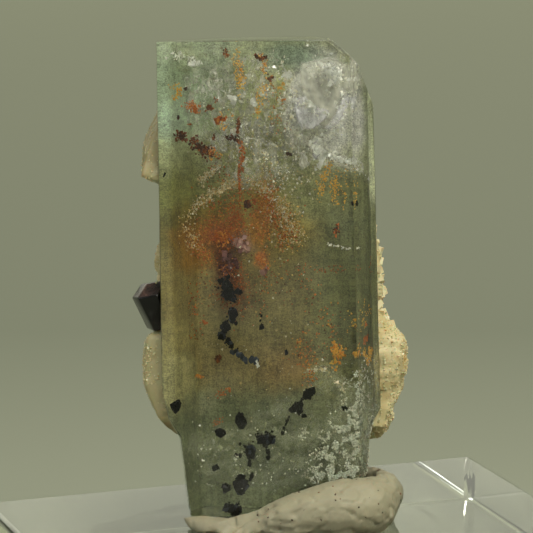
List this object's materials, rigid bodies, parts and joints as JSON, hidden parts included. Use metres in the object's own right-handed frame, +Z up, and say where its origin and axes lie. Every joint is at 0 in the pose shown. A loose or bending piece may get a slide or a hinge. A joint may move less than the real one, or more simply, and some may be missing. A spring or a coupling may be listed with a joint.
{
  "type": "aquamarine crystal specimen on a display block",
  "caption": "Pale aquamarine prism with rust stains, schorl, feldspar and purple fluorite, stood in grey putty on a clear display block.",
  "frame": {"origin": "centre of the underside of the display block, on the surface it stands on", "axes": "+Z up; the crystal's broad face looks along -Y, and the block is turned 20 degrees about +Z"},
  "size_m": [0.0648, 0.0648, 0.0642],
  "materials": {
    "aquamarine": "clear pale blue-green crystal, glassy, finely striated",
    "schorl": "glossy black, striated",
    "feldspar": "cream cleavage faces, satin",
    "albite": "sugary cream with ochre stains",
    "fluorite": "translucent purple, glassy",
    "iron_stain": "orange to dark red iron oxide grains",
    "veil": "white glittering fracture flakes",
    "putty": "grey-beige putty, dull with pits and folds",
    "clear_acrylic": "clear polished acrylic"
  },
  "bodies": {
    "root": {"aquamarine": "aquamarine", "schorl_prism": "schorl", "upper_feldspar": "feldspar", "lower_feldspar": "feldspar", "albite_matrix": "albite", "fluorite_cluster": "fluorite", "mounting_putty": "putty", "display_block": "clear_acrylic"}
  },
  "joints": []
}
